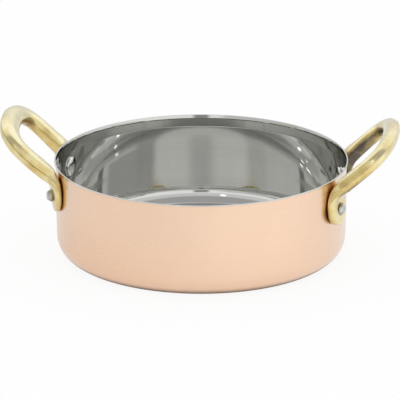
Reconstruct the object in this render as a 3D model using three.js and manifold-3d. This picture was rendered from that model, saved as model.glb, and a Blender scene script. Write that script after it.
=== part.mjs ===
// A small round egg pan: a copper shell with a bonded steel lining, and two looped brass
// handles that each hold on with two steel rivets. Millimetres, +Z up. The origin is on the
// underside of the base, at its centre, and the handles lie along -X and +X.

import * as THREE from 'three';
import { mergeVertices } from 'three/addons/utils/BufferGeometryUtils.js';
import Module from 'manifold-3d';

const wasm = await Module();
wasm.setup();

// Pan body
const rimDiameter = 120;
const panHeight = 40;
const lipFlare = 1;
const lipHeight = 2;
const baseCornerRadius = 8;
const copperThickness = 1.2;
const liningThickness = 0.3;
const bondClearance = 0.05;

// Handle loop: a bar of rounded oblong section that climbs outward from the wall
const legSpacing = 39.8;
const legRootDrop = 6.7;
const loopRise = THREE.MathUtils.degToRad(42);
const loopLength = 31;
const loopCrownDepth = 12;
const barWidth = 7;
const barDepth = 5.9;
const barEdgeRadius = 1.9;

// Palm: the flat tongue at the foot of each leg, round about its rivet
const palmRadius = 6.5;
const palmNeckWidth = 8;
const palmThickness = 3.4;
const palmEdgeRadius = 0.9;
const palmTopSetback = 1;
const seatClearance = 0.3;

// Rivets
const rivetDrop = 11.5;
const rivetShankDiameter = 4.2;
const rivetHeadDiameter = 8.2;
const rivetHeadHeight = 1.5;
const rivetHeadEdge = 0.4;
const rivetTailDiameter = 5.4;
const rivetTailTipDiameter = 3.8;
const rivetTailHeight = 2.2;
const rivetHoleClearance = 0.2;
const rivetSeatClearance = 0.1;

// Fineness of the round surfaces
const panSegments = 64;
const rivetSegments = 20;
const cornerSteps = 5;
const lipSteps = 2;
const loopSteps = 44;
const sectionCornerSteps = 2;
const palmArcSteps = 10;
const palmEdgeSteps = 2;

// Sizes that follow from the ones above
const wallRadius = rimDiameter / 2 - lipFlare;
const liningOuterInset = copperThickness + bondClearance;
const liningInnerInset = liningOuterInset + liningThickness;
const palmSeatRadius = wallRadius + seatClearance;
const palmFaceRadius = palmSeatRadius + palmThickness;
const palmAngle = Math.asin(legSpacing / 2 / (palmSeatRadius + palmThickness / 2));
const legRootReach = Math.sqrt(wallRadius ** 2 - (legSpacing / 2) ** 2);
const legRootHeight = panHeight - legRootDrop;
const legTopAtWall = legRootHeight + barDepth / 2 / Math.cos(loopRise);
const rivetHeight = panHeight - rivetDrop;
const rivetHoleRadius = rivetShankDiameter / 2 + rivetHoleClearance;
const liningInnerRadius = wallRadius - liningInnerInset;
const rivetHeadSeat = Math.sqrt(liningInnerRadius ** 2 - (rivetHeadDiameter / 2) ** 2) - rivetSeatClearance;
const rivetTailSeat = palmFaceRadius + rivetSeatClearance;

function solidFrom(geometry) {
  const bare = geometry.clone();
  bare.deleteAttribute('normal');
  bare.deleteAttribute('uv');
  const merged = mergeVertices(bare, 1e-4);
  const corners = merged.index.array;
  const triangles = [];
  for (let i = 0; i < corners.length; i += 3) {
    const [a, b, c] = corners.slice(i, i + 3);
    const hasArea = a !== b && b !== c && c !== a;
    if (hasArea) triangles.push(a, b, c);
  }
  const mesh = new wasm.Mesh({
    numProp: 3,
    vertProperties: merged.attributes.position.array,
    triVerts: Uint32Array.from(triangles),
  });
  return new wasm.Manifold(mesh);
}

function geometryFrom(solid) {
  const mesh = solid.getMesh();
  const geometry = new THREE.BufferGeometry();
  geometry.setAttribute('position', new THREE.BufferAttribute(mesh.vertProperties, 3));
  geometry.setIndex(new THREE.BufferAttribute(mesh.triVerts, 1));
  geometry.computeVertexNormals();
  return geometry;
}

function metal(color, roughness) {
  return new THREE.MeshStandardMaterial({ color, roughness, metalness: 1 });
}

// Turns a profile of (radius, height) points about the Z axis.
function turned(profile, segments) {
  return new THREE.LatheGeometry(profile, segments).rotateX(Math.PI / 2);
}

// Lays a turned piece down so that its axis points outward along +X.
function laidOutward(geometry) {
  return geometry.rotateY(Math.PI / 2);
}

// The lip's points, from the straight wall up to the rim, at a given distance inside the copper.
function lipProfile(inset) {
  const points = [];
  for (let i = 0; i <= lipSteps; i += 1) {
    const share = i / lipSteps;
    const radius = wallRadius - inset + lipFlare * share ** 2;
    points.push(new THREE.Vector2(radius, panHeight - lipHeight * (1 - share)));
  }
  return points;
}

// One skin of the pan, from the centre of the base out to the rim.
function panProfile(inset) {
  const corner = Math.max(baseCornerRadius - inset, 0.5);
  const cornerCentre = wallRadius - inset - corner;
  const points = [new THREE.Vector2(0, inset)];
  for (let i = 0; i <= cornerSteps; i += 1) {
    const angle = (Math.PI / 2) * (i / cornerSteps);
    const radius = cornerCentre + corner * Math.sin(angle);
    points.push(new THREE.Vector2(radius, inset + corner * (1 - Math.cos(angle))));
  }
  return points.concat(lipProfile(inset));
}

// A bowl between two skins of the pan.
function bowlSolid(outerInset, innerInset) {
  const outside = panProfile(outerInset);
  const inside = panProfile(innerInset).reverse();
  return solidFrom(turned(outside.concat(inside), panSegments));
}

// The space that the pan's outside and its seat clearance take up beside a handle.
function wallEnvelope() {
  const low = rivetHeight - 2 * palmRadius;
  const profile = [new THREE.Vector2(0, low), new THREE.Vector2(wallRadius, low)].concat(lipProfile(0));
  const grown = profile.map((point) => {
    const radius = point.x > 0 ? point.x + seatClearance : 0;
    return new THREE.Vector2(radius, point.y);
  });
  grown.push(new THREE.Vector2(0, panHeight));
  return solidFrom(turned(grown, panSegments));
}

// A plain drill through the palm and the pan's wall, at one of a handle's two palms.
function rivetHole(angle) {
  const depth = rivetTailSeat - rivetHeadSeat + 2 * rivetTailHeight;
  const drill = new THREE.CylinderGeometry(rivetHoleRadius, rivetHoleRadius, depth, rivetSegments);
  drill.rotateZ(Math.PI / 2);
  drill.translate((rivetTailSeat + rivetHeadSeat) / 2, 0, rivetHeight);
  drill.rotateZ(angle);
  return solidFrom(drill);
}

// A flat drawing used as the centre line of a bar.
class FlatCurve extends THREE.Curve {
  constructor(path) {
    super();
    this.path = path;
  }

  getPoint(t, target = new THREE.Vector3()) {
    const point = this.path.getPoint(t);
    return target.set(point.x, point.y, 0);
  }
}

function barSection() {
  const x = barDepth / 2 - barEdgeRadius;
  const y = barWidth / 2 - barEdgeRadius;
  const section = new THREE.Shape();
  section.absarc(x, y, barEdgeRadius, 0, Math.PI / 2);
  section.absarc(-x, y, barEdgeRadius, Math.PI / 2, Math.PI);
  section.absarc(-x, -y, barEdgeRadius, Math.PI, 1.5 * Math.PI);
  section.absarc(x, -y, barEdgeRadius, 1.5 * Math.PI, 2 * Math.PI);
  return section;
}

// The loop of one handle: two straight legs and a half-oval crown, tilted up from the wall.
function loopSolid() {
  const wallBesideLeg = Math.sqrt(wallRadius ** 2 - (legSpacing / 2 + barWidth / 2) ** 2);
  const footOverhang = legRootReach - wallBesideLeg + (barDepth / 2) * Math.sin(loopRise);
  const buried = footOverhang / Math.cos(loopRise);
  const crownStart = loopLength - loopCrownDepth;
  const outline = new THREE.Path();
  outline.moveTo(-buried, legSpacing / 2);
  outline.lineTo(crownStart, legSpacing / 2);
  outline.absellipse(crownStart, 0, loopCrownDepth, legSpacing / 2, Math.PI / 2, -Math.PI / 2, true);
  outline.lineTo(-buried, -legSpacing / 2);
  const bar = new THREE.ExtrudeGeometry(barSection(), {
    steps: loopSteps,
    curveSegments: sectionCornerSteps,
    extrudePath: new FlatCurve(outline),
  });
  bar.rotateY(-loopRise);
  bar.translate(legRootReach, 0, legRootHeight);
  return solidFrom(bar);
}

// A palm's outline, drawn about its rivet: a round foot with sides that close in to the leg.
function palmOutline() {
  const top = legTopAtWall - palmTopSetback - rivetHeight;
  const neck = palmNeckWidth / 2;
  const toNeck = Math.hypot(neck, top);
  const sideAngle = Math.atan2(top, neck) - Math.acos(Math.min(palmRadius / toNeck, 1));
  const outline = new THREE.Shape();
  outline.moveTo(-neck, top);
  outline.absarc(0, 0, palmRadius, Math.PI - sideAngle, 2 * Math.PI + sideAngle);
  outline.lineTo(neck, top);
  outline.closePath();
  return outline;
}

function palmSolid(angle) {
  const palm = new THREE.ExtrudeGeometry(palmOutline(), {
    depth: palmThickness - 2 * palmEdgeRadius,
    curveSegments: palmArcSteps,
    bevelThickness: palmEdgeRadius,
    bevelSize: palmEdgeRadius,
    bevelOffset: -palmEdgeRadius,
    bevelSegments: palmEdgeSteps,
  });
  const across = new THREE.Vector3(0, 1, 0);
  const up = new THREE.Vector3(0, 0, 1);
  const outward = new THREE.Vector3(1, 0, 0);
  palm.applyMatrix4(new THREE.Matrix4().makeBasis(across, up, outward));
  palm.translate(palmSeatRadius + palmEdgeRadius, 0, rivetHeight);
  palm.rotateZ(angle);
  return solidFrom(palm);
}

function handleGeometry() {
  let handle = loopSolid();
  for (const angle of [-palmAngle, palmAngle]) handle = handle.add(palmSolid(angle));
  handle = handle.subtract(wallEnvelope());
  for (const angle of [-palmAngle, palmAngle]) handle = handle.subtract(rivetHole(angle));
  return geometryFrom(handle);
}

// A rivet about its own axis: a low domed head inside the pan and a tapered tail on the palm.
function rivetGeometry() {
  const headRadius = rivetHeadDiameter / 2;
  const shankRadius = rivetShankDiameter / 2;
  const domeHeight = rivetHeadHeight - rivetHeadEdge;
  const domeSteps = 5;
  const profile = [];
  for (let i = 0; i <= domeSteps; i += 1) {
    const angle = (Math.PI / 2) * (i / domeSteps);
    const height = rivetHeadSeat - rivetHeadEdge - domeHeight * Math.cos(angle);
    profile.push(new THREE.Vector2(headRadius * Math.sin(angle), height));
  }
  const tailTop = rivetTailSeat + rivetTailHeight;
  profile.push(new THREE.Vector2(headRadius, rivetHeadSeat));
  profile.push(new THREE.Vector2(shankRadius, rivetHeadSeat));
  profile.push(new THREE.Vector2(shankRadius, rivetTailSeat));
  profile.push(new THREE.Vector2(rivetTailDiameter / 2, rivetTailSeat));
  profile.push(new THREE.Vector2(rivetTailTipDiameter / 2, tailTop));
  profile.push(new THREE.Vector2(0, tailTop));
  return laidOutward(turned(profile, rivetSegments));
}

function named(name, geometry, material) {
  const mesh = new THREE.Mesh(geometry, material);
  mesh.name = name;
  return mesh;
}

// One handle with its two rivets, turned to its side of the pan.
function handleGroup(side, turn, rivetPlaces) {
  const group = new THREE.Group();
  group.rotation.z = turn;
  group.add(named(`handle_${side}`, handleGeometry(), metal('#dcc582', 0.25)));
  for (const [place, angle] of rivetPlaces) {
    const seat = new THREE.Group();
    seat.rotation.z = angle;
    const rivet = named(`rivet_${side}_${place}`, rivetGeometry(), metal('#b3b4b4', 0.3));
    rivet.position.z = rivetHeight;
    seat.add(rivet);
    group.add(seat);
  }
  return group;
}

const handleTurns = [0, Math.PI];
let copper = bowlSolid(0, copperThickness);
let lining = bowlSolid(liningOuterInset, liningInnerInset);
for (const turn of handleTurns) {
  for (const angle of [-palmAngle, palmAngle]) {
    copper = copper.subtract(rivetHole(turn + angle));
    lining = lining.subtract(rivetHole(turn + angle));
  }
}

const [rightTurn, leftTurn] = handleTurns;
const pan = new THREE.Group();
pan.add(named('copper_shell', geometryFrom(copper), metal('#e6b692', 0.18)));
pan.add(named('steel_lining', geometryFrom(lining), metal('#a9a9a4', 0.22)));
pan.add(handleGroup('right', rightTurn, [['front', -palmAngle], ['rear', palmAngle]]));
pan.add(handleGroup('left', leftTurn, [['front', palmAngle], ['rear', -palmAngle]]));

export default pan;
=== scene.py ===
# %% [markdown]
# A two-handled copper egg pan
#
# The pan is a small round pan of spun copper, bonded to a thin steel lining, with two looped brass
# handles that are held on by two steel rivets each. This lesson dresses a finished CAD model: the
# frame gives every piece's place and size, and each piece is modelled again here with finer edges.

# %% Load the frame
import math

import bmesh
import bpy
from mathutils import Matrix, Vector


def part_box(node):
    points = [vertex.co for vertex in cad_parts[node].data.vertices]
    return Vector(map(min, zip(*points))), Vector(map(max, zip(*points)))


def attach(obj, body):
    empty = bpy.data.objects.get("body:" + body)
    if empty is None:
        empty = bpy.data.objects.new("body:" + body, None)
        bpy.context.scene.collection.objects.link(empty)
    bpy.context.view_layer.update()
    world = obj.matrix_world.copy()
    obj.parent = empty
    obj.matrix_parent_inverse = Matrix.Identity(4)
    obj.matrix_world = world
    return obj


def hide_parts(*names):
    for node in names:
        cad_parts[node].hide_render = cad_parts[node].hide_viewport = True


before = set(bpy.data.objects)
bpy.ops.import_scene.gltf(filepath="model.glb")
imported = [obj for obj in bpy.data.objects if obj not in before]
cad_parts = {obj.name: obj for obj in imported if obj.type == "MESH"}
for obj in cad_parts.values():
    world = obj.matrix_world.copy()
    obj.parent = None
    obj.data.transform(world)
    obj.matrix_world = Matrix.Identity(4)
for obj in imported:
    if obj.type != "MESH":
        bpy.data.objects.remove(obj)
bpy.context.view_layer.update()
MM = 0.001
UP = Vector((0, 0, 1))
print("nodes in the frame:", sorted(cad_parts))

# %% [markdown]
# Sizes of the pan
#
# The rim and the height are read from the CAD shell, so the dressed pan can't drift away from it.
# The finer sizes, such as the turned-out lip and the thickness of the two metals, are named here.

# %% Sizes of the pan
shell_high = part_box("copper_shell")[1]
rim_radius = shell_high.x
pan_height = shell_high.z
base_corner = 8.6 * MM
copper_base = 1.2 * MM
copper_wall = 0.3 * MM
lining_thickness = 0.2 * MM
bond_gap = 0.05 * MM
inside_corner = 8.2 * MM
rim_edge = 0.12 * MM
rim_band = 0.4 * MM
rim_fold = 0.5 * MM
fold_gap = 0.03 * MM
print(f"rim {2000 * rim_radius:.1f} mm across, pan {1000 * pan_height:.1f} mm high")

# %% [markdown]
# Turning on a lathe
#
# Copper pans are spun: a disc is pressed over a turning form. Blender's spin does the same with an
# outline: the operator sweeps a chain of edges round the Z axis, and the last step is merged with
# the first. Points that lie on the axis fall together, so doubles are merged before the normals.

# %% Turning on a lathe
lathe_steps = 192
merge_distance = 0.001 * MM


def arc(centre, radius, start, end, steps):
    """Points on an arc in the outline's plane, from start to end in degrees."""
    turns = [math.radians(start + (end - start) * i / steps) for i in range(steps + 1)]
    return [(centre[0] + radius * math.cos(t), centre[1] + radius * math.sin(t)) for t in turns]


def piece_from(mesh, name):
    """Close a bmesh into a smooth object with its place in its mesh."""
    bmesh.ops.remove_doubles(mesh, verts=mesh.verts, dist=merge_distance)
    bmesh.ops.recalc_face_normals(mesh, faces=mesh.faces)
    for face in mesh.faces:
        face.smooth = True
    data = bpy.data.meshes.new(name)
    mesh.to_mesh(data)
    mesh.free()
    piece = bpy.data.objects.new(name, data)
    bpy.context.scene.collection.objects.link(piece)
    return piece


def spun_mesh(outline, steps):
    """Spin an outline of (radius, height) points all the way round the Z axis."""
    mesh = bmesh.new()
    points = [mesh.verts.new((radius, 0, height)) for radius, height in outline]
    chain = [mesh.edges.new(pair) for pair in zip(points, points[1:])]
    bmesh.ops.spin(
        mesh,
        geom=points + chain,
        cent=(0, 0, 0),
        axis=UP,
        dvec=(0, 0, 0),
        angle=math.tau,
        steps=steps,
        use_merge=True,
        use_normal_flip=False,
        use_duplicate=False,
    )
    return mesh


print(f"each step of the lathe turns {360 / lathe_steps:.3f} degrees")

# %% [markdown]
# The lean of the wall
#
# The wall tapers a little at its foot, stands upright above it, leans out again from a shoulder near
# the rim, and ends in a lip that leans out further. The lean is added up in small steps from the rim
# down, so the rim keeps its size.

# %% The lean of the wall
foot_lean = math.radians(1.8)
foot_end = 16.0 * MM
foot_bend = 6.0 * MM
shoulder_drop = 5.1 * MM
shoulder_start = pan_height - shoulder_drop
shoulder_lean = math.radians(4)
shoulder_bend = 0.6 * MM
lip_drop = 1.9 * MM
lip_start = pan_height - lip_drop
lip_lean = math.radians(20.5)
lip_bend = 1.8 * MM
lean_steps = 200


def between(a, b, share):
    """The value a share of the way from a to b."""
    return a + (b - a) * share


def eased(share):
    """A smooth start and a smooth stop between 0 and 1."""
    share = min(max(share, 0), 1)
    return share * share * (3 - 2 * share)


def lean(height):
    """How far the wall leans out at a height, as an angle."""
    foot = foot_lean * (1 - eased((height - foot_end) / foot_bend))
    shoulder = shoulder_lean * eased((height - shoulder_start) / shoulder_bend)
    return between(foot + shoulder, lip_lean, eased((height - lip_start) / lip_bend))


def wall_at(height):
    """The wall's outer radius at a height."""
    step = (pan_height - height) / lean_steps
    return rim_radius - sum(step * math.tan(lean(height + step * (i + 0.5))) for i in range(lean_steps))


wall_radius = wall_at(shoulder_start)
print(f"the wall is {1000 * wall_radius:.2f} mm from the axis below its shoulder")

# %% [markdown]
# The outline of the pan's wall
#
# Both metals follow one outline at different depths: a flat base, a round corner and the leaning
# wall. A short edge next to each end of the base keeps it flat under smooth shading.

# %% The outline of the pan's wall
holding_edge = 0.25 * MM
corner_steps = 16
wall_steps = 24
lip_steps = 40


def flat_stretch(start, end):
    """The points next to both ends of a straight stretch, without the ends themselves."""
    a = Vector(start)
    b = Vector(end)
    step = (b - a).normalized() * holding_edge
    return [tuple(a + step), tuple(b - step)]


def wall_outline(base_depth, wall_depth, corner, top):
    """From the axis along the base and up to the top of the lip, at depths inside the outer face."""
    wall_start = base_depth + corner * (1 - math.sin(foot_lean))
    corner_middle = wall_at(wall_start) - wall_depth - corner * math.cos(foot_lean)
    corner_centre = (corner_middle, base_depth + corner)
    turn = arc(corner_centre, corner, 270, 360 - math.degrees(foot_lean), corner_steps)
    heights = [between(wall_start, shoulder_start, i / wall_steps) for i in range(1, wall_steps)]
    heights += [between(shoulder_start, top, i / lip_steps) for i in range(lip_steps + 1)]
    points = [(0, base_depth)]
    points += flat_stretch(points[0], turn[0])
    points += turn
    return points + [(wall_at(height) - wall_depth, height) for height in heights]


print("points in the outer outline:", len(wall_outline(0, 0, base_corner, pan_height)))

# %% [markdown]
# The copper shell
#
# The shell is the pan's body. Its outline runs from the axis along the base, up the outer face, over
# a rounded edge and back down the inner face, so that one spin gives a closed wall. Spinning draws
# the wall out, so it is thinner than the base.

# %% The copper shell
copper_top = pan_height - rim_fold
copper_edge = copper_wall / 2
edge_steps = 8
outer_face = wall_outline(0, 0, base_corner, copper_top)
inner_face = wall_outline(copper_base, copper_wall, inside_corner, copper_top)
edge_centre = (outer_face[-1][0] - copper_edge, copper_top)
copper_round = arc(edge_centre, copper_edge, 0, 180, edge_steps)[1:-1]
copper_shell = piece_from(
    spun_mesh(outer_face + copper_round + inner_face[::-1], lathe_steps), "copper_shell_dressed")
print("copper shell:", len(copper_shell.data.polygons), "faces")

# %% [markdown]
# The steel lining
#
# The cook sees only this skin of steel. It follows the copper at a hair's breadth, and at the rim it
# is turned over the copper's edge and ground flat, which shows as a fine bright line all the way round.

# %% The steel lining
lining_base = copper_base + bond_gap
lining_wall = copper_wall + bond_gap
inside_wall = lining_wall + lining_thickness
rim_shoulder = pan_height - rim_edge
rim_steps = 5
fold_inside = copper_top + copper_edge + fold_gap
lining_inside = wall_outline(lining_base + lining_thickness, inside_wall, inside_corner, rim_shoulder)
lining_outside = wall_outline(lining_base, lining_wall, inside_corner, fold_inside)
lip_top = lining_inside[-1][0]
rim = arc((lip_top + rim_edge, rim_shoulder), rim_edge, 180, 90, rim_steps)
rim += arc((rim_radius - rim_edge, rim_shoulder), rim_edge, 90, 0, rim_steps)
rim.append((rim_radius, pan_height - rim_band))
steel_lining = piece_from(
    spun_mesh(lining_inside[:-1] + rim + lining_outside[::-1], lathe_steps), "steel_lining_dressed")
print("steel lining:", len(steel_lining.data.polygons), "faces")

# %% [markdown]
# Sizes of the handles
#
# Each handle is one brass casting: a round palm lies against the wall, bends away from it as a leg,
# and the two legs meet in a flat crown, a little squarer than an ellipse. The loop climbs at 42
# degrees. Palm and leg meet where the leg's line crosses the palm's upright line, and a curve rounds
# that corner. The two castings were fettled by hand, so each has its own sizes: the right one has
# thicker palms, a shorter and wider loop and a slimmer crown, and its inside and underside are
# painted darker as shade. Each value runs from 0, a dark painted shade, to 1 as mirror polish, for
# the front, the underside, the inside and the top, so it mixes polish with painted shade.

# %% Sizes of the handles
loop_rise = math.radians(42)
leg_offset = 19.9 * MM
leg_root_reach = 55.54 * MM
leg_root_drop = 6.7 * MM
leg_root = Vector((leg_root_reach, -leg_offset, pan_height - leg_root_drop))
crown_depth = 12 * MM
crown_power = 0.8
bar_depth = 5.9 * MM
bar_swell = 0.2 * MM
leg_edge = 1.3 * MM
crown_edge = 2.2 * MM
palm_radius = 6.8 * MM
palm_top_depth = 3.1 * MM
palm_end_share = 0.76
palm_edge_share = 0.42
palm_clearance = 0.1 * MM
bend_reach = 4.4 * MM
neck_width = 7.6 * MM
# Each side's values mix real polish with painted shade: low insides and undersides are painted shade.
handle_sides = {
    "right": {
        "turn": 0,
        "loop_length": 29.6 * MM,
        "crown_width": 7.1 * MM,
        "crown_spread": 1.9 * MM,
        "palm_angle": math.radians(20.0),
        "palm_thickness": 3.8 * MM,
        "rivet_drop": 12.4 * MM,
        "tail_height": 1.1 * MM,
        "palm_polish_and_shade": (0.50, 0.76, 0.15, 0.1),
        "leg_polish_and_shade": (0.48, 0.0, 0.0, 0.85),
        "crown_polish_and_shade": (0.80, 0.85, 0.0, 0.85),
        "seam_share": 0.4,
    },
    "left": {
        "turn": math.pi,
        "loop_length": 30.4 * MM,
        "crown_width": 8.5 * MM,
        "crown_spread": 0.2 * MM,
        "palm_angle": math.radians(18.3),
        "palm_thickness": 2.1 * MM,
        "rivet_drop": 11.0 * MM,
        "tail_height": 2.0 * MM,
        "palm_polish_and_shade": (0.62, 0.74, 0.45, 0.1),
        "leg_polish_and_shade": (0.62, 0.70, 0.60, 0.95),
        "crown_polish_and_shade": (0.72, 0.80, 0.30, 0.95),
        "seam_share": 1.0,
    },
}
print(f"loop rises at {math.degrees(loop_rise):.0f} degrees, bar {1000 * bar_depth:.1f} mm deep")

# %% [markdown]
# A bar that changes its section
#
# The casting is drawn as one bar. A ring of points stands across it: three on each rounded edge, one
# amid each face, and three on the front face, where the mould's halves left a fine raised seam. The
# ring is extruded from station to station. Each station says where the ring stands, which way it
# faces, how wide, deep and rounded it is, and how far it curls round the pan.

# %% A bar that changes its section
edge_points = 3
seam_half = 0.3 * MM
seam_rise = 0.12 * MM


def bar_ring(origin, along, across, width, depth, edge, swell, curl):
    """The places of the ring's points: across is its width, and its depth is square to both."""
    across = (across - along * across.dot(along)).normalized()
    outward = along.cross(across)
    flat = []
    for quarter in range(4):
        turn = math.radians(90 * quarter)
        side_across = 1 if quarter in (0, 3) else -1
        side_outward = 1 if quarter in (0, 1) else -1
        if quarter == 0:
            front = width / 2 + swell
            flat += [(front, -seam_half), (front + seam_rise, 0), (front, seam_half)]
        else:
            flat.append(((width / 2 + swell) * math.cos(turn), (depth / 2 + swell) * math.sin(turn)))
        for i in range(edge_points):
            angle = turn + math.radians(90 * i / (edge_points - 1))
            u = side_across * (width / 2 - edge) + edge * math.cos(angle)
            v = side_outward * (depth / 2 - edge) + edge * math.sin(angle)
            flat.append((u, v))
    sag = curl / (2 * wall_radius)
    return [origin + across * u + outward * (v - sag * u * u) for u, v in flat]


def extrude_ring(mesh, ring, places):
    """Extrude a ring of vertices and move each new vertex to its place."""
    sides = [mesh.edges.get((a, b)) for a, b in zip(ring, ring[1:] + ring[:1])]
    made = bmesh.ops.extrude_edge_only(mesh, edges=sides)
    partner = {}
    for vert in made["geom"]:
        if isinstance(vert, bmesh.types.BMVert):
            for edge in vert.link_edges:
                partner[edge.other_vert(vert)] = vert
    new_ring = [partner[vert] for vert in ring]
    for vert, place in zip(new_ring, places):
        vert.co = place
    return new_ring


print(f"the seam is {2000 * seam_half:.1f} mm wide and {1000 * seam_rise:.2f} mm high")

# %% [markdown]
# The stations of the palm
#
# The palm is the round flat end of the bar, which the rivet holds to the wall. Its stations run from
# its lower tip up to the rivet, where it has its full width. Its width axis follows the wall.

# %% The stations of the palm
palm_end_turns = (10, 24, 40, 57, 74, 90)
tip_edge_share = 1 / 3
palm_seat = wall_radius + palm_clearance


def palm_axes(palm_angle):
    """Outward from the wall at the palm, and along the wall there."""
    out = Vector((math.cos(palm_angle), -math.sin(palm_angle), 0))
    return out, UP.cross(out) * -1


def palm_depth(height, palm_bottom, thickness):
    """The palm is one thickness at its lower end and another where the leg begins."""
    share = eased((height - palm_bottom) / (leg_root.z - palm_bottom))
    return between(thickness, palm_top_depth, share)


def palm_stations(palm_angle, rivet_height, thickness):
    """The round end of the palm, up to its full width at the rivet."""
    out, across = palm_axes(palm_angle)
    for degrees in palm_end_turns:
        turn = math.radians(degrees)
        height = rivet_height - palm_radius * math.cos(turn)
        width = 2 * palm_radius * math.sin(turn)
        depth = palm_depth(height, rivet_height - palm_radius, thickness)
        if degrees == palm_end_turns[0]:
            depth *= palm_end_share
        origin = out * (palm_seat + depth / 2) + UP * height
        edge = min(depth * palm_edge_share, width * tip_edge_share)
        yield origin, UP, across, width, depth, edge, 0, 1


print(f"palms lie {1000 * palm_clearance:.1f} mm off the wall, with {len(palm_end_turns)} stations each")

# %% [markdown]
# The stations of the bend
#
# The bar leaves the wall in a curve that is drawn between three points: where the palm starts to
# bend, the corner where its line meets the leg's, and where the leg starts. The palm's width axis
# follows the wall and the leg's lies level, so the ring turns half of the way here, after it has come
# clear of the wall, and the rest of the way on the leg.

# %% The stations of the bend
leg_across = Vector((0, -1, 0))
climb = Vector((math.cos(loop_rise), 0, math.sin(loop_rise)))
bend_steps = 8
turn_in_bend = 0.5
narrowing = 1.1


def bend_points(palm_angle):
    """Where the palm starts to bend, where its line meets the leg's, and where the leg starts."""
    corner = palm_axes(palm_angle)[0] * (palm_seat + palm_top_depth / 2)
    corner += UP * (leg_root.z + (corner.x - leg_root.x) * math.tan(loop_rise))
    return corner - UP * bend_reach, corner, corner + climb * bend_reach


def bend_stations(palm_angle):
    """The curve from the palm into the leg, narrowing on its way."""
    start, corner, end = bend_points(palm_angle)
    palm_across = palm_axes(palm_angle)[1]
    for i in range(bend_steps + 1):
        share = i / bend_steps
        first = between(start, corner, share)
        second = between(corner, end, share)
        along = (second - first).normalized()
        across = between(palm_across, leg_across, turn_in_bend * eased(share * 2 - 1))
        width = between(2 * palm_radius, neck_width, eased(share * narrowing))
        depth = between(palm_top_depth, bar_depth, eased(share))
        edge = between(palm_top_depth * palm_edge_share, leg_edge, share)
        origin = between(first, second, share)
        yield origin, along, across, width, depth, edge, bar_swell * share, 1 - eased(share)


for side, sizes in handle_sides.items():
    leg_height = bend_points(sizes["palm_angle"])[2].z
    print(f"the {side} leg leaves the bend {1000 * leg_height:.1f} mm above the table")

# %% [markdown]
# The stations of the leg and the crown
#
# The leg climbs straight on and spreads a little, and the crown is a quarter of a squarish ellipse.
# A power below one on the sine and the cosine makes the ellipse squarer, and the ring's direction is
# that curve's own slope.

# %% The stations of the leg and the crown
under = Vector((math.sin(loop_rise), 0, -math.cos(loop_rise)))
leg_steps = 4
crown_steps = 10


def loop_stations(sizes):
    """The straight leg, which spreads a little, and half of the crown."""
    bend_end = bend_points(sizes["palm_angle"])[2]
    palm_across = palm_axes(sizes["palm_angle"])[1]
    leg_start = (bend_end - leg_root).dot(climb)
    leg_stop = sizes["loop_length"] - crown_depth
    leg_entry = bend_end - (leg_root + climb * leg_start)
    for i in range(1, leg_steps + 1):
        share = i / leg_steps
        origin = leg_root + climb * between(leg_start, leg_stop, share)
        origin += leg_entry * (1 - eased(share)) + leg_across * sizes["crown_spread"] * share
        across = between(palm_across, leg_across, between(turn_in_bend, 1, eased(share * 2)))
        width = between(neck_width, sizes["crown_width"], eased(share * 2))
        edge = between(leg_edge, crown_edge, share)
        yield origin, climb, across, width, bar_depth, edge, bar_swell, 0
    crown_half = leg_offset + sizes["crown_spread"]
    for i in range(1, crown_steps + 1):
        turn = math.radians(90 * i / crown_steps)
        origin = leg_root + climb * (leg_stop + crown_depth * math.sin(turn) ** crown_power)
        origin.y = -crown_half * math.cos(turn) ** crown_power
        along = climb * crown_depth * math.cos(turn) ** (2 - crown_power)
        along -= leg_across * crown_half * math.sin(turn) ** (2 - crown_power)
        along.normalize()
        yield origin, along, under.cross(along), sizes["crown_width"], bar_depth, crown_edge, bar_swell, 0


def leg_stations(sizes, rivet_height):
    """All the stations of half a handle, from the palm to the middle of the crown."""
    palm_angle = sizes["palm_angle"]
    palm = palm_stations(palm_angle, rivet_height, sizes["palm_thickness"])
    return [*palm, *bend_stations(palm_angle), *loop_stations(sizes)]


print("stations in half a handle:", len(palm_end_turns) + bend_steps + 1 + leg_steps + crown_steps)

# %% [markdown]
# The handles
#
# Half a handle is extruded and mirrored across its own middle, where the two crowns merge. The left
# handle is turned by half a turn. A subdivision surface rounds the bar, with the same level in the
# viewport and in the render. Each point also keeps a value that mixes its side's polish with painted
# shade, which the brass reads later: the top of the loop shines and its inside is painted dark as shade.

# %% The handles
handle_levels = 2
seam_polish = 0.15
mirror_merge = 0.01 * MM


def ring_polish_and_shade(sides, seam_share):
    """The polish and painted shade of a ring's points, from those of its front, underside, inside and
    top.
    """
    polish_and_shade = [sides[0], between(sides[0], seam_polish, seam_share)]
    for side, following in zip(sides, sides[1:] + sides[:1]):
        polish_and_shade += [side] + [between(side, following, i / (edge_points - 1)) for i in range(edge_points)]
    return polish_and_shade


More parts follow.
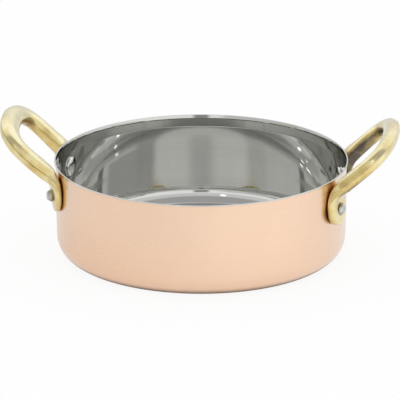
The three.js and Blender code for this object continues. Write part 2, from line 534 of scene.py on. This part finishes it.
def handle_mesh(sizes):
    """Half a handle from ring to ring, its polish and painted shade, and its mirrored other half."""
    mesh = bmesh.new()
    polish_and_shade = mesh.verts.layers.float.new("polish_and_shade")
    rivet_height = pan_height - sizes["rivet_drop"]
    first, *others = leg_stations(sizes, rivet_height)
    ring = [mesh.verts.new(place) for place in bar_ring(*first)]
    rings = [ring]
    sides = [mesh.edges.new((a, b)) for a, b in zip(ring, ring[1:] + ring[:1])]
    bmesh.ops.edgeloop_fill(mesh, edges=sides)
    for station in others:
        rings.append(extrude_ring(mesh, rings[-1], bar_ring(*station)))
    leg_middle = len(palm_end_turns) + bend_steps + leg_steps // 2
    for number, ring in enumerate(rings):
        to_leg = eased((number - len(palm_end_turns)) / bend_steps)
        to_crown = eased((number - leg_middle) / leg_steps)
        mixed = []
        for palm, leg, crown in zip(sizes["palm_polish_and_shade"], sizes["leg_polish_and_shade"], sizes["crown_polish_and_shade"]):
            mixed.append(between(between(palm, leg, to_leg), crown, to_crown))
        # Each point takes a value of polish mixed with painted shade for its side of the bar.
        for vert, share in zip(ring, ring_polish_and_shade(mixed, to_leg * sizes["seam_share"])):
            vert[polish_and_shade] = share
    everything = mesh.verts[:] + mesh.edges[:] + mesh.faces[:]
    bmesh.ops.mirror(mesh, geom=everything, matrix=Matrix.Identity(4), merge_dist=mirror_merge, axis="Y")
    to_its_side = Matrix.Rotation(sizes["turn"], 3, "Z")
    bmesh.ops.rotate(mesh, cent=(0, 0, 0), matrix=to_its_side, verts=mesh.verts)
    return mesh


def handle_piece(side):
    """A finished handle with its rounding."""
    handle = piece_from(handle_mesh(handle_sides[side]), f"handle_{side}_dressed")
    rounding = handle.modifiers.new("rounding", "SUBSURF")
    rounding.levels = handle_levels
    rounding.render_levels = handle_levels
    return handle


handles = {side: handle_piece(side) for side in handle_sides}
nearest = min(v.co.xy.length - wall_radius for v in handles["right"].data.vertices)
print(f"handles stand {1000 * nearest:.2f} mm off the wall at the nearest point")

# %% [markdown]
# The rivets
#
# A rivet goes in from the inside: a low domed head on the lining, a shank through both metals and
# the palm, and a tail that is hammered into a blunt button. It is one spun outline again, laid on
# its side and pointed outwards at each palm.

# %% The rivets
rivet_steps = 40
shank_radius = 2.1 * MM
head_radius = 4.1 * MM
head_height = 1.5 * MM
head_edge = 0.4 * MM
head_gap = 0.2 * MM
head_seat = wall_radius - inside_wall - head_gap
dome_steps = 8
head_polish = 1.0
tail_radius = 2.7 * MM
tail_tip_radius = 2.0 * MM
tail_round = 0.8 * MM
tail_gap = 0.05 * MM
tail_steps = 5
tail_flank = 15
tail_polish = 0.35


def rivet_outline(rivet_height, palm_thickness, tail_height):
    """From the crown of the head, along the shank, to the tip of the tail."""
    palm_bottom = rivet_height - palm_radius
    tail_seat = palm_seat + palm_depth(rivet_height, palm_bottom, palm_thickness) + tail_gap
    dome_height = head_height - head_edge
    dome_radius = (head_radius ** 2 + dome_height ** 2) / (2 * dome_height)
    half_angle = math.degrees(math.asin(head_radius / dome_radius))
    crown = head_seat - head_height
    points = arc((0, crown + dome_radius), dome_radius, 270, 270 + half_angle, dome_steps)
    points += [(head_radius, head_seat), (shank_radius, head_seat)]
    points += [(shank_radius, tail_seat), (tail_radius, tail_seat)]
    shoulder = tail_seat + tail_height - tail_round
    points += arc((tail_tip_radius - tail_round, shoulder), tail_round, tail_flank, 90, tail_steps)
    points.append((0, tail_seat + tail_height))
    return points


def rivet_piece(name, around, sizes):
    """A rivet laid on its side and turned round the pan to its palm."""
    rivet_height = pan_height - sizes["rivet_drop"]
    outline = rivet_outline(rivet_height, sizes["palm_thickness"], sizes["tail_height"])
    mesh = spun_mesh(outline, rivet_steps)
    polish_and_shade = mesh.verts.layers.float.new("polish_and_shade")
    for vert in mesh.verts:
        vert[polish_and_shade] = head_polish if vert.co.z < wall_radius else tail_polish
    lay_down = Matrix.Rotation(math.radians(90), 4, "Y")
    place = Matrix.Translation(UP * rivet_height) @ Matrix.Rotation(around, 4, "Z") @ lay_down
    bmesh.ops.transform(mesh, matrix=place, verts=mesh.verts)
    return piece_from(mesh, name)


rivets = {}
for side, sizes in handle_sides.items():
    toward_front = sizes["palm_angle"] * (-1 if side == "right" else 1)
    for end, around in (("front", toward_front), ("rear", -toward_front)):
        node = f"rivet_{side}_{end}"
        rivets[node] = rivet_piece(node + "_dressed", sizes["turn"] + around, sizes)
print("rivets:", ", ".join(rivets))

# %% [markdown]
# Small helpers for nodes
#
# A material or a world is a tree of nodes that are linked by their sockets. Typing that out takes two
# lines for every link, so three small helpers add a node with its inputs, do sums, and mix values.

# %% Small helpers for nodes
def add_node(tree, kind, settings=None, **inputs):
    """Add a node, set its own settings, and set or link its inputs by name."""
    node = tree.nodes.new(kind)
    for label, value in (settings or {}).items():
        setattr(node, label, value)
    for label, value in inputs.items():
        key = int(label[1:]) if label[1:].isdigit() else label.replace("_", " ")
        socket = node.inputs[key]
        if isinstance(value, bpy.types.NodeSocket):
            tree.links.new(value, socket)
        else:
            socket.default_value = value
    return node


def combine(tree, operation, first, *others):
    """Add, multiply or compare values one after the other."""
    for other in others:
        node = add_node(tree, "ShaderNodeMath", {"operation": operation}, _0=first, _1=other)
        first = node.outputs[0]
    return first


def blend(tree, share, first, second):
    """The first value where the share is 0, and the second where it is 1."""
    node = add_node(tree, "ShaderNodeMix", {"data_type": "FLOAT"}, Factor=share, A=first, B=second)
    return node.outputs["Result"]


print("helpers for nodes: add_node, combine and blend")

# %% [markdown]
# The rings of spun metal
#
# Spun metal carries fine rings that run round the axis. Copper and lining share them, so they are a
# node group with named sockets, which each metal uses with its own values. A group gives masks
# between 0 and 1 and never a finished shader.

# %% The rings of spun metal
bands_per_ring = 0.15


def new_group(name, inputs, outputs):
    """An empty node group with named number sockets."""
    group = bpy.data.node_groups.new(name, "ShaderNodeTree")
    for label, default in inputs.items():
        socket = group.interface.new_socket(label, in_out="INPUT", socket_type="NodeSocketFloat")
        socket.default_value = default
    for label in outputs:
        group.interface.new_socket(label, in_out="OUTPUT", socket_type="NodeSocketFloat")
    return group


def spun_rings_group():
    """Rings that depend only on the height and on the distance from the axis."""
    group = new_group("spun rings", {"Rings per mm": 3.0}, ("Height", "Streaks"))
    sockets = add_node(group, "NodeGroupInput").outputs
    place = add_node(group, "ShaderNodeTexCoord").outputs["Object"]
    split = add_node(group, "ShaderNodeSeparateXYZ", Vector=place)
    level = add_node(group, "ShaderNodeCombineXYZ", X=split.outputs["X"], Y=split.outputs["Y"])
    reach = add_node(group, "ShaderNodeVectorMath", {"operation": "LENGTH"}, _0=level.outputs[0])
    flat = add_node(group, "ShaderNodeCombineXYZ", X=reach.outputs["Value"], Y=split.outputs["Z"])
    scale = combine(group, "MULTIPLY", sockets["Rings per mm"], 1 / MM)
    rings = add_node(group, "ShaderNodeTexNoise", {"noise_dimensions": "2D"},
                     Vector=flat.outputs[0], Scale=scale, Detail=2.0, Roughness=0.6)
    wide = combine(group, "MULTIPLY", scale, bands_per_ring)
    bands = add_node(group, "ShaderNodeTexNoise", {"noise_dimensions": "2D"},
                     Vector=flat.outputs[0], Scale=wide, Detail=1.0)
    out = add_node(group, "NodeGroupOutput")
    group.links.new(rings.outputs["Fac"], out.inputs["Height"])
    group.links.new(bands.outputs["Fac"], out.inputs["Streaks"])
    return group


spun_rings = spun_rings_group()
print("node group:", spun_rings.name)

# %% [markdown]
# The clouds of a hand polish
#
# A hand polish leaves soft cloudy patches on every metal of the pan, and a casting keeps fine specks
# in its skin. Both come from noise at two sizes, in a second group.

# %% The clouds of a hand polish
specks_per_cloud = 12.0


def polish_clouds_group():
    """Soft patches, and the fine specks of a cast surface."""
    group = new_group("polish clouds", {"Cloud size mm": 12.0}, ("Clouds", "Specks"))
    sockets = add_node(group, "NodeGroupInput").outputs
    place = add_node(group, "ShaderNodeTexCoord").outputs["Object"]
    scale = combine(group, "DIVIDE", 1 / MM, sockets["Cloud size mm"])
    clouds = add_node(group, "ShaderNodeTexNoise", Vector=place, Scale=scale, Detail=3.0, Roughness=0.55)
    fine = combine(group, "MULTIPLY", scale, specks_per_cloud)
    specks = add_node(group, "ShaderNodeTexNoise", Vector=place, Scale=fine, Detail=2.0, Roughness=0.6)
    out = add_node(group, "NodeGroupOutput")
    group.links.new(clouds.outputs["Fac"], out.inputs["Clouds"])
    group.links.new(specks.outputs["Fac"], out.inputs["Specks"])
    return group


polish_clouds = polish_clouds_group()
print("node group:", polish_clouds.name)

# %% [markdown]
# A polished metal
#
# All four metals share one recipe: a row of tints from dull to bright, a roughness that wanders with
# the polish, and a bump that is barely there. The tint and the roughness follow the clouds, and the
# bump follows the rings on spun pieces or the fine specks on the others. On the brass and the rivets
# the value that each piece keeps decides first, and the clouds only vary it: on the rivets it is
# polish, and on the brass it is polish mixed with painted shade.

# %% A polished metal
cloud_low = 0.3
cloud_high = 0.7
cloud_middle = 0.5
cloud_sway = 0.5
bump_depth = 0.05 * MM


def polished_metal(
    name, tints, roughness, cloud_size, bump, rings_per_mm=None, streak_share=0.0, kept_polish_and_shade=None,
):
    """Tints run from dull to bright (on brass the darkest is painted shade), and so does roughness. Rings
    are for spun pieces.
    """
    material = bpy.data.materials.new(name)
    material.use_nodes = True
    tree = material.node_tree
    shader = tree.nodes["Principled BSDF"]
    shader.inputs["Metallic"].default_value = 1.0
    clouds = add_node(tree, "ShaderNodeGroup", {"node_tree": polish_clouds}, Cloud_size_mm=cloud_size)
    mask = clouds.outputs["Clouds"]
    height = clouds.outputs["Specks"]
    if rings_per_mm:
        rings = add_node(tree, "ShaderNodeGroup", {"node_tree": spun_rings}, Rings_per_mm=rings_per_mm)
        height = rings.outputs["Height"]
        mask = blend(tree, streak_share, mask, rings.outputs["Streaks"])
    spread = add_node(tree, "ShaderNodeMapRange", Value=mask)
    spread.inputs["From Min"].default_value = cloud_low
    spread.inputs["From Max"].default_value = cloud_high
    polish_and_shade = spread.outputs["Result"]
    # On the brass the kept value mixes polish with painted shade.
    if kept_polish_and_shade:
        kept = add_node(tree, "ShaderNodeAttribute", {"attribute_name": kept_polish_and_shade}).outputs["Fac"]
        sway = combine(tree, "MULTIPLY", combine(tree, "SUBTRACT", polish_and_shade, cloud_middle), cloud_sway)
        polish_and_shade = combine(tree, "ADD", kept, sway)
    tint = tree.nodes.new("ShaderNodeValToRGB")
    stops = tint.color_ramp.elements
    for i in range(1, len(tints) - 1):
        stops.new(i / (len(tints) - 1))
    for stop, colour in zip(stops, tints):
        stop.color = (*colour, 1)
    tree.links.new(polish_and_shade, tint.inputs["Fac"])
    tree.links.new(tint.outputs["Color"], shader.inputs["Base Color"])
    shine = add_node(tree, "ShaderNodeMapRange", Value=polish_and_shade)
    shine.inputs["To Min"].default_value = roughness[0]
    shine.inputs["To Max"].default_value = roughness[1]
    tree.links.new(shine.outputs["Result"], shader.inputs["Roughness"])
    bumps = add_node(tree, "ShaderNodeBump", Height=height, Strength=bump, Distance=bump_depth)
    tree.links.new(bumps.outputs["Normal"], shader.inputs["Normal"])
    return material, shader


print("the recipe uses", polish_clouds.name, "and", spun_rings.name)

# %% [markdown]
# The four metals
#
# The copper is satin under a clear lacquer, which the coat gives, and the brass has one too. The
# lining is nearly a mirror. Spinning brushes copper and steel round the axis, so their highlights are
# stretched across the rings. Brass and rivet steel have three tints, since they run from dark to bright;
# the brass's darkest tint is painted shade for the inside and underside of its bar.

# %% The four metals
copper, copper_shader = polished_metal(
    "polished copper",
    tints=((0.86, 0.615, 0.445), (0.89, 0.64, 0.468)),
    roughness=(0.26, 0.30),
    cloud_size=18.0,
    bump=0.006,
    rings_per_mm=4.0,
    streak_share=0.25,
)
lining_steel, lining_shader = polished_metal(
    "spun lining steel",
    tints=((0.648, 0.65, 0.63), (0.688, 0.69, 0.67)),
    roughness=(0.03, 0.05),
    cloud_size=14.0,
    bump=0.005,
    rings_per_mm=3.0,
    streak_share=0.5,
)
# The brass's darkest tint is painted shade, for the inside and underside of the bar.
brass, brass_shader = polished_metal(
    "polished cast brass",
    tints=((0.11, 0.085, 0.06), (0.72, 0.56, 0.21), (0.88, 0.81, 0.50)),
    roughness=(0.45, 0.20),
    cloud_size=8.0,
    bump=0.03,
    kept_polish_and_shade="polish_and_shade",
)
rivet_steel = polished_metal(
    "rivet steel",
    tints=((0.40, 0.40, 0.39), (0.60, 0.60, 0.59), (0.80, 0.80, 0.78)),
    roughness=(0.45, 0.12),
    cloud_size=2.0,
    bump=0.05,
    kept_polish_and_shade="polish_and_shade",
)[0]
copper_stretch = 0.4
lining_stretch = 0.8
brushing_turn = 0.25
copper_coat = 1.0
brass_coat = 0.8
coat_roughness = 0.08
for shader, stretch in ((copper_shader, copper_stretch), (lining_shader, lining_stretch)):
    shader.inputs["Anisotropic"].default_value = stretch
    shader.inputs["Anisotropic Rotation"].default_value = brushing_turn
for shader, coat in ((copper_shader, copper_coat), (brass_shader, brass_coat)):
    shader.inputs["Coat Weight"].default_value = coat
    shader.inputs["Coat Roughness"].default_value = coat_roughness
print("metals:", ", ".join(m.name for m in (copper, lining_steel, brass, rivet_steel)))

# %% [markdown]
# Binding the pieces to the frame
#
# Every piece rides on the pan's one body and stands for a CAD node, which stays in the simulation
# for collisions.

# %% Binding the pieces to the frame
def bind(piece, node, material):
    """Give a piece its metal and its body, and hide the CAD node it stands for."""
    piece.data.materials.append(material)
    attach(piece, "root")
    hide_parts(node)


bind(copper_shell, "copper_shell", copper)
bind(steel_lining, "steel_lining", lining_steel)
for side, handle in handles.items():
    bind(handle, f"handle_{side}", brass)
for node, rivet in rivets.items():
    bind(rivet, node, rivet_steel)
print("bound", 2 + len(handles) + len(rivets), "pieces")

# %% [markdown]
# The camera
#
# The photograph was taken with a long lens from a little above the rim, and a few degrees round to
# the right, so that the right handle is nearer. The lens follows from the picture's scale.

# %% The camera
image_width = 400
sensor_width = 36.0
camera_distance = 2.5
camera_height = math.radians(18.55)
camera_turn = math.radians(5.58)
pixels_per_mm = 2.4438
aim_right = -0.49 * MM
aim_up = 2.26 * MM
sight_limit = 20.0
pan_middle = UP * pan_height / 2


def direction_to(turn, height):
    """The direction to a place that is turned round from the front and raised, both as angles."""
    return Vector((
        math.sin(turn) * math.cos(height),
        -math.cos(turn) * math.cos(height),
        math.sin(height),
    ))


back = direction_to(camera_turn, camera_height)
right = UP.cross(back).normalized()
up = back.cross(right)
aim = pan_middle + right * aim_right + up * aim_up
lens = bpy.data.cameras.new("long lens")
lens.sensor_width = sensor_width
lens.lens = sensor_width * camera_distance / (image_width / pixels_per_mm * MM)
lens.clip_end = sight_limit
camera = bpy.data.objects.new("long lens", lens)
camera.location = aim + back * camera_distance
camera.rotation_euler = back.to_track_quat("Z", "Y").to_euler()
bpy.context.scene.collection.objects.link(camera)
bpy.context.scene.camera = camera
bpy.context.scene.view_settings.view_transform = "Standard"
print(f"lens {lens.lens:.1f} mm at {camera_distance} m")

# %% [markdown]
# The room round the pan
#
# Polished metal shows the room more than its own colour, so the world is painted as a plain grey
# room. Its directions are turned by the angle at which the camera stands: X points to the picture's
# right, Y away from the camera and Z up, each from -1 to 1. Every part of the room ends in a soft
# fade between two such values.

# %% The room round the pan
world = bpy.data.worlds.new("white studio")
world.use_nodes = True
bpy.context.scene.world = world
tree = world.node_tree
direction = add_node(tree, "ShaderNodeTexCoord").outputs["Generated"]
turned = add_node(tree, "ShaderNodeVectorRotate", {"rotation_type": "Z_AXIS"},
                  Vector=direction, Angle=-camera_turn).outputs[0]
facing = add_node(tree, "ShaderNodeSeparateXYZ", Vector=turned).outputs
sideways = add_node(tree, "ShaderNodeMath", {"operation": "ABSOLUTE"}, _0=facing["X"]).outputs[0]


def fade(tree, value, start, end, low=0.0, high=1.0):
    """Low where the value is at start, high where it is at end, and soft between."""
    node = add_node(tree, "ShaderNodeMapRange", {"interpolation_type": "SMOOTHSTEP"}, Value=value)
    for label, number in zip(("From Min", "From Max", "To Min", "To Max"), (start, end, low, high)):
        node.inputs[label].default_value = number
    return node.outputs["Result"]


print("the room is turned by", round(math.degrees(camera_turn), 2), "degrees")

# %% [markdown]
# The front and the rear of the room
#
# In front, behind the camera, the room is darker on the left, a lit panel stands above it, and the
# wall over the panel is greyer again. At the rear the middle is greyer than the sides, and the level
# rises with height.

# %% The front and the rear of the room
front_left_level = 0.68
front_right_level = 1.02
panel_level = 1.03
upper_panel_level = 0.77
front_edge = (-0.2, -0.4)
front_middle = (-0.38, -0.18)
low_edge = (0.36, 0.41)
panel_edge = (0.50, 0.58)
front = fade(tree, facing["Y"], *front_edge)
front_level = fade(tree, facing["X"], *front_middle, front_left_level, front_right_level)
front_level = blend(tree, fade(tree, facing["Z"], *low_edge), front_level, panel_level)
front_level = blend(tree, fade(tree, facing["Z"], *panel_edge), front_level, upper_panel_level)

rear_middle_level = 0.85
rear_side_level = 1.15
rear_high_level = 1.08
rear_low_level = 0.72
rear_edge = (0.1, 0.35)
rear_spread = (0.1, 0.5)
rear_high_edge = (0.33, 0.48)
rear_low_edge = (0.30, 0.12)
rear = fade(tree, facing["Y"], *rear_edge)
rear_level = fade(tree, sideways, *rear_spread, rear_middle_level, rear_side_level)
rear_level = blend(tree, fade(tree, facing["Z"], *rear_high_edge), rear_level, rear_high_level)
rear_level = blend(tree, fade(tree, facing["Z"], *rear_low_edge), rear_level, rear_low_level)
print("front levels:", front_left_level, front_right_level, panel_level, upper_panel_level)
print("rear levels:", rear_low_level, rear_middle_level, rear_side_level, rear_high_level)

# %% [markdown]
# The whole room
#
# The sides, the grey ceiling and the dark shape of the camera complete the room, and one small lamp
# to the left of the camera puts the sparkles into the lining. Light that only falls on the floor, and
# the picture's own background, see plain white. The lining mirrors itself many times over, so light
# may bounce often, and no ray is ended early by chance, which would leave dark specks.

# %% The whole room
left_level = 0.66
right_level = 0.90
overhead_level = 0.46
camera_level = 0.32
side_spread = (-0.4, 0.4)
upper_edge = (0.72, 0.82)
overhead_edge = (0.15, 0.0)
camera_top = (0.52, 0.42)
camera_side = (0.14, 0.06)
overhead = combine(
    tree, "MULTIPLY", fade(tree, facing["Z"], *upper_edge), fade(tree, facing["Y"], *overhead_edge))
behind_camera = combine(
    tree, "MULTIPLY", front, fade(tree, facing["Z"], *camera_top), fade(tree, sideways, *camera_side))
level = fade(tree, facing["X"], *side_spread, left_level, right_level)
level = blend(tree, front, level, front_level)
level = blend(tree, overhead, level, overhead_level)
level = blend(tree, rear, level, rear_level)
level = blend(tree, behind_camera, level, camera_level)

lamp_level = 8.0
lamp_turn = math.radians(-21)
lamp_height = math.radians(43)
lamp_radius = math.radians(1.6)
lamp_edge = math.radians(0.6)
nearness = add_node(tree, "ShaderNodeVectorMath", {"operation": "DOT_PRODUCT"},
                    _0=turned, _1=direction_to(lamp_turn, lamp_height)).outputs["Value"]
lamp = fade(tree, nearness, math.cos(lamp_radius + lamp_edge), math.cos(lamp_radius), 0.0, lamp_level)
level = combine(tree, "ADD", level, lamp)

mirror_bounces = 32
path = add_node(tree, "ShaderNodeLightPath").outputs
plain = combine(tree, "MAXIMUM", path["Is Camera Ray"], path["Is Diffuse Ray"])
tree.links.new(blend(tree, plain, level, 1.0), tree.nodes["Background"].inputs["Strength"])
tree.nodes["Background"].inputs["Color"].default_value = (1, 1, 1, 1)
bpy.context.scene.cycles.max_bounces = mirror_bounces
bpy.context.scene.cycles.glossy_bounces = mirror_bounces
bpy.context.scene.cycles.min_light_bounces = mirror_bounces
print("side, ceiling and camera levels:", left_level, right_level, overhead_level, camera_level)

# %% [markdown]
# The floor
#
# The floor is one pale sheet, much wider than the picture, and it is part of the stage, not of
# the pan.

# %% The floor
floor_half = 3.0
floor_mesh = bmesh.new()
bmesh.ops.create_grid(floor_mesh, x_segments=2, y_segments=2, size=floor_half)
floor = piece_from(floor_mesh, "pale_floor")
print("floor", 2 * floor_half, "m across")

# %% [markdown]
# The floor's light
#
# The floor takes the pan's soft shadow. For rays from the camera and from the metals it gives some
# light of its own, so that it is white in the picture and in the copper. For the metals this glow is
# painted light: a painted pool of light on the right, greyer behind the pan, a painted shadow under
# the pan, and a painted warm reflection close to the pan, where the copper shines on it.

# %% The floor's light
floor_colour = (0.95, 0.95, 0.95, 1)
camera_glow = 0.9
metal_glow = 0.45
left_glow = 1.0
right_glow = 1.29
glow_reach = 90 * MM
rear_glow = 0.6
painted_copper_reflection_colour = (1.0, 0.90, 0.82, 1)
right_painted_reflection = 0.2
rear_fade = (-80 * MM, 120 * MM)
painted_shadow_shares = (0.89, 0.97)
painted_reflection_shares = (2.6, 1.2)
pale = bpy.data.materials.new("pale floor")
pale.use_nodes = True
tree = pale.node_tree
tree.nodes.clear()
matt = add_node(tree, "ShaderNodeBsdfDiffuse", Color=floor_colour)
path = add_node(tree, "ShaderNodeLightPath").outputs
place = add_node(tree, "ShaderNodeTexCoord").outputs["Object"]
spot = add_node(tree, "ShaderNodeSeparateXYZ", Vector=place).outputs
reach = add_node(tree, "ShaderNodeVectorMath", {"operation": "LENGTH"}, _0=place).outputs["Value"]
painted_shadow_reach = [rim_radius * share for share in painted_shadow_shares]
painted_reflection_reach = [rim_radius * share for share in painted_reflection_shares]
# The glow for the metals paints a pool of light on the right and a painted shadow under the pan.
metal_strength = combine(
    tree,
    "MULTIPLY",
    fade(tree, spot["X"], -glow_reach, glow_reach, left_glow, right_glow),
    fade(tree, spot["Y"], *rear_fade, 1.0, rear_glow),
    fade(tree, reach, *painted_shadow_reach),
)
metal_ray = combine(tree, "MAXIMUM", path["Is Glossy Ray"], path["Is Transmission Ray"])
share = combine(tree, "MAXIMUM", combine(tree, "MULTIPLY", metal_ray, metal_glow),
                combine(tree, "MULTIPLY", path["Is Camera Ray"], camera_glow))
# A painted reflection of the copper warms the floor's glow near the pan.
painted_reflection_share = combine(
    tree,
    "MULTIPLY",
    metal_ray,
    fade(tree, reach, *painted_reflection_reach),
    fade(tree, spot["X"], -glow_reach, glow_reach, 1.0, right_painted_reflection),
)
painted_reflection = add_node(tree, "ShaderNodeMix", {"data_type": "RGBA"}, Factor=painted_reflection_share)
painted_reflection.inputs["A"].default_value = (1, 1, 1, 1)
painted_reflection.inputs["B"].default_value = painted_copper_reflection_colour
glow = add_node(tree, "ShaderNodeEmission", Strength=blend(tree, metal_ray, 1.0, metal_strength))
tree.links.new(painted_reflection.outputs["Result"], glow.inputs["Color"])
both = add_node(tree, "ShaderNodeMixShader", _0=share, _1=matt.outputs[0], _2=glow.outputs[0])
add_node(tree, "ShaderNodeOutputMaterial", Surface=both.outputs[0])
floor.data.materials.append(pale)
print("the floor glows", camera_glow, "for the camera and", metal_glow, "for the metals")
